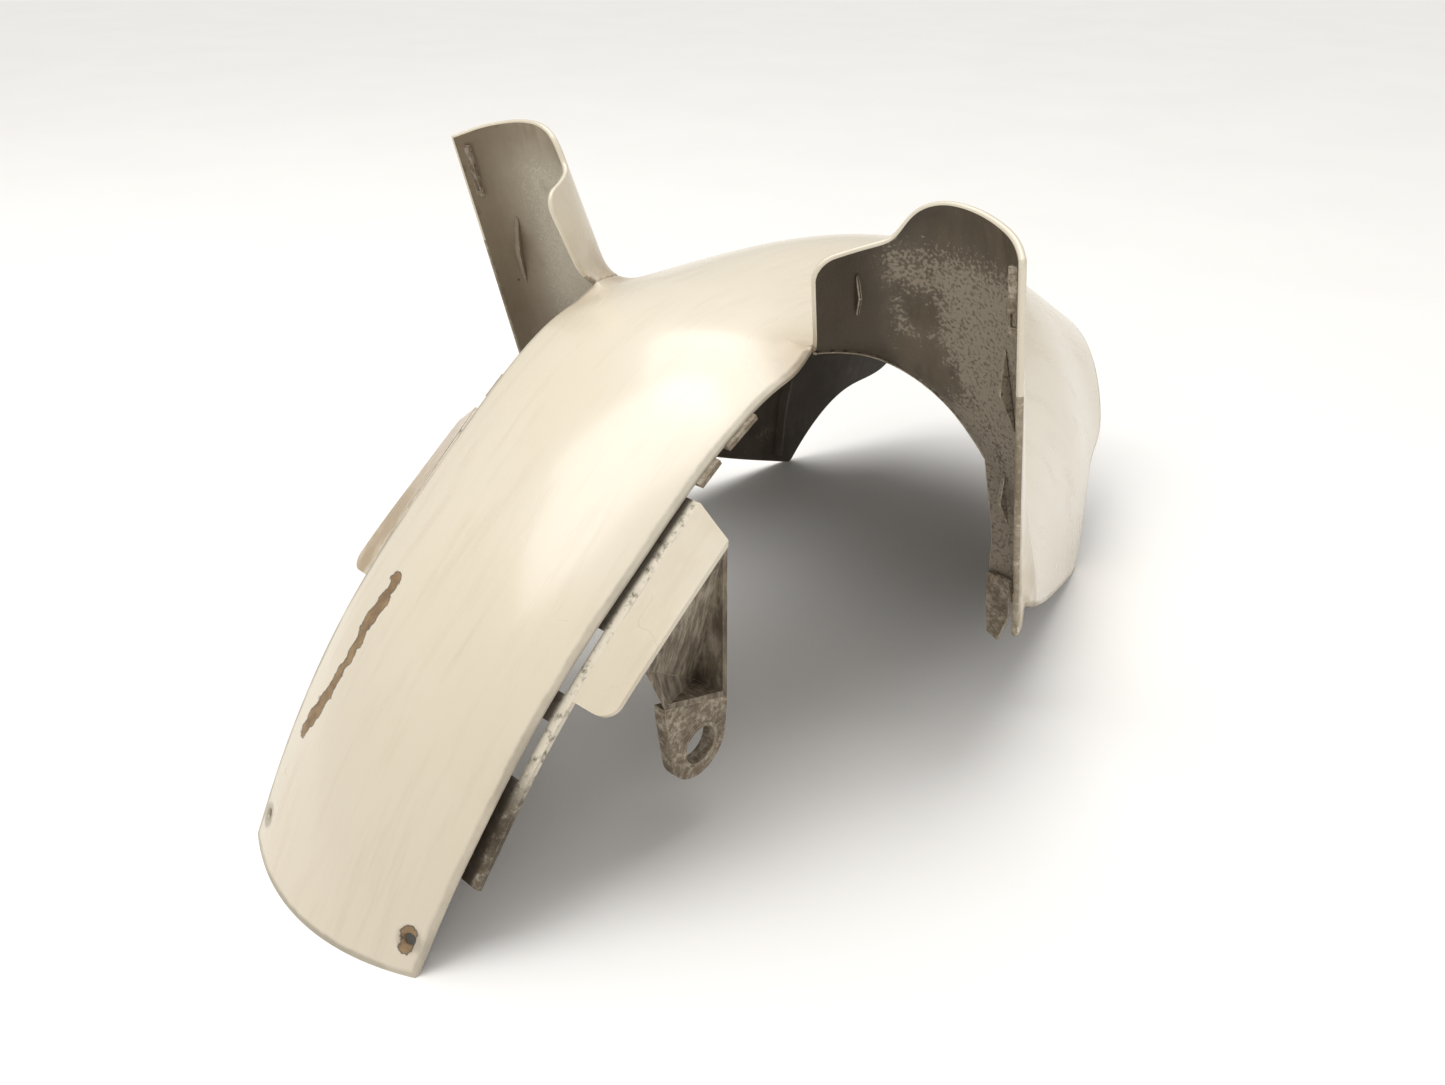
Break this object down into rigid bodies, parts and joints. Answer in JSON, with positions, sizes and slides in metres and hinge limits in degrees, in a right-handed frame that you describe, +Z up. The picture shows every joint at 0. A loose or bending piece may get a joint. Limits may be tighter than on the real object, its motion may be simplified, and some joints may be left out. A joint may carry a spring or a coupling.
{
  "type": "motorcycle front mudguard",
  "caption": "Cream painted front mudguard with a long curved tail, a rounded nose with skirts, and two upright shrouds that cover the fork legs; side brackets carry bolt tabs.",
  "frame": {"origin": "bottom centre of the whole part's box, on the ground plane it stands on", "axes": "+X towards the nose, +Y to the rider's left, +Z up"},
  "size_m": [0.5204, 0.2924, 0.233],
  "materials": {
    "painted_skin": "aged cream gloss paint over moulded plastic",
    "worn_moulding": "unpainted moulding with road dirt",
    "bracket_moulding": "textured moulding with road dirt"
  },
  "bodies": {
    "root": {"crown_shell": "painted_skin", "nose_shell": "painted_skin", "left_fork_shroud": "painted_skin", "right_fork_shroud": "painted_skin", "left_side_wing": "painted_skin", "right_side_wing": "painted_skin", "left_edge_hooks": "painted_skin", "right_edge_hooks": "painted_skin", "left_side_flange": "worn_moulding", "left_trim_lug": "worn_moulding", "left_shroud_ribs": "worn_moulding", "left_shroud_tongue": "worn_moulding", "left_skirt_rib": "worn_moulding", "left_side_bracket": "bracket_moulding", "left_mount_tab": "bracket_moulding", "right_side_flange": "worn_moulding", "right_trim_lug": "worn_moulding", "right_shroud_ribs": "worn_moulding", "right_shroud_tongue": "worn_moulding", "right_skirt_rib": "worn_moulding", "right_side_bracket": "bracket_moulding", "right_mount_tab": "bracket_moulding"}
  },
  "joints": []
}
